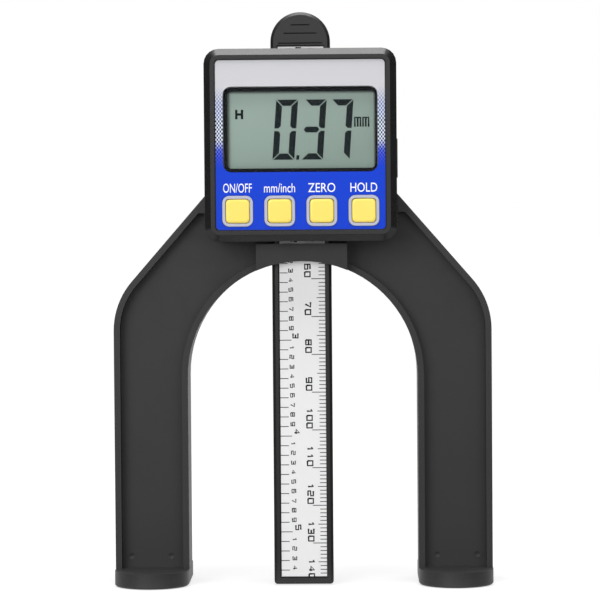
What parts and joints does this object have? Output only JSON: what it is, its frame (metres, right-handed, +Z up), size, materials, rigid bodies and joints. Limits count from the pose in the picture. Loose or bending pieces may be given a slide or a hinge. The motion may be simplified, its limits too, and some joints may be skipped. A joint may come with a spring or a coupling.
{
  "type": "digital height gauge",
  "caption": "Digital height gauge: an arch frame on magnetic feet holds a square display module, and a ruled blade slides between its legs to read height and depth.",
  "frame": {"origin": "on the table under the gauge, midway between the feet", "axes": "+Z up along the blade's travel, -Y out of the display's face, +X to the right as the face is read"},
  "size_m": [0.1002, 0.039, 0.1512],
  "materials": {
    "frame_plastic": "fine spark-textured black moulding",
    "blade_plastic": "smooth satin black moulding",
    "module_plastic": "satin to semi-gloss black moulding",
    "back_plastic": "fine-textured black moulding",
    "overlay_print": "film printed silver fading to blue",
    "window_clear": "clear acrylic",
    "mask_ink": "black ink border",
    "display_glass": "grey-green reflective liquid crystal",
    "holder_plastic": "white moulding",
    "strip_rubber": "layered conductive rubber",
    "board_green": "solder mask over laminate",
    "sensor_laminate": "bare laminate with copper pads",
    "black_parts": "moulded connector and chip resin",
    "bright_steel": "bright steel",
    "collar_plastic": "light grey moulding",
    "button_plastic": "satin yellow moulding",
    "contact_nickel": "nickel-plated spring steel",
    "magnet_nickel": "nickel-plated magnet",
    "spring_bronze": "phosphor bronze strip",
    "screw_zinc": "zinc-plated steel",
    "scale_print": "satin white label with black graduations"
  },
  "bodies": {
    "frame": {"arch_frame": "frame_plastic", "left_front_magnet": "magnet_nickel", "left_rear_magnet": "magnet_nickel", "right_front_magnet": "magnet_nickel", "right_rear_magnet": "magnet_nickel", "friction_spring": "spring_bronze", "front_shell": "module_plastic", "back_shell": "back_plastic", "face_overlay": "overlay_print", "lcd_window": "window_clear", "window_mask": "mask_ink", "lcd_panel": "display_glass", "lcd_holder": "holder_plastic", "lcd_contact_strip": "strip_rubber", "circuit_board": "board_green", "sensor_board": "sensor_laminate", "board_connector": "black_parts", "chip_cover": "black_parts", "quartz_crystal": "bright_steel", "key_dome_1": "bright_steel", "key_dome_2": "bright_steel", "key_dome_3": "bright_steel", "key_dome_4": "bright_steel", "key_guide": "collar_plastic", "negative_contact": "contact_nickel", "positive_contact": "contact_nickel", "module_screw_1": "screw_zinc", "module_screw_2": "screw_zinc", "module_screw_3": "screw_zinc", "module_screw_4": "screw_zinc", "shell_screw_1": "screw_zinc", "shell_screw_2": "screw_zinc", "shell_screw_3": "screw_zinc", "shell_screw_4": "screw_zinc"},
    "blade": {"blade_body": "blade_plastic", "scale_board": "sensor_laminate", "scale_label": "scale_print"},
    "button_on_off": {"button_on_off": "button_plastic"},
    "button_unit": {"button_unit": "button_plastic"},
    "button_zero": {"button_zero": "button_plastic"},
    "button_hold": {"button_hold": "button_plastic"},
    "drawer": {"battery_drawer": "back_plastic", "button_cell": "bright_steel"}
  },
  "joints": [
    {"name": "blade_slide", "type": "slide", "parent": "frame", "child": "blade", "axis": [0, 0, 1], "range_m": [0, 0.08]},
    {"name": "button_on_off_press", "type": "slide", "parent": "frame", "child": "button_on_off", "axis": [0, 1, 0], "range_m": [0, 0.0005], "stiffness_N_per_m": 400},
    {"name": "button_unit_press", "type": "slide", "parent": "frame", "child": "button_unit", "axis": [0, 1, 0], "range_m": [0, 0.0005], "stiffness_N_per_m": 400},
    {"name": "button_zero_press", "type": "slide", "parent": "frame", "child": "button_zero", "axis": [0, 1, 0], "range_m": [0, 0.0005], "stiffness_N_per_m": 400},
    {"name": "button_hold_press", "type": "slide", "parent": "frame", "child": "button_hold", "axis": [0, 1, 0], "range_m": [0, 0.0005], "stiffness_N_per_m": 400},
    {"name": "battery_drawer_slide", "type": "slide", "parent": "frame", "child": "drawer", "axis": [1, 0, 0], "range_m": [0, 0.013]}
  ]
}
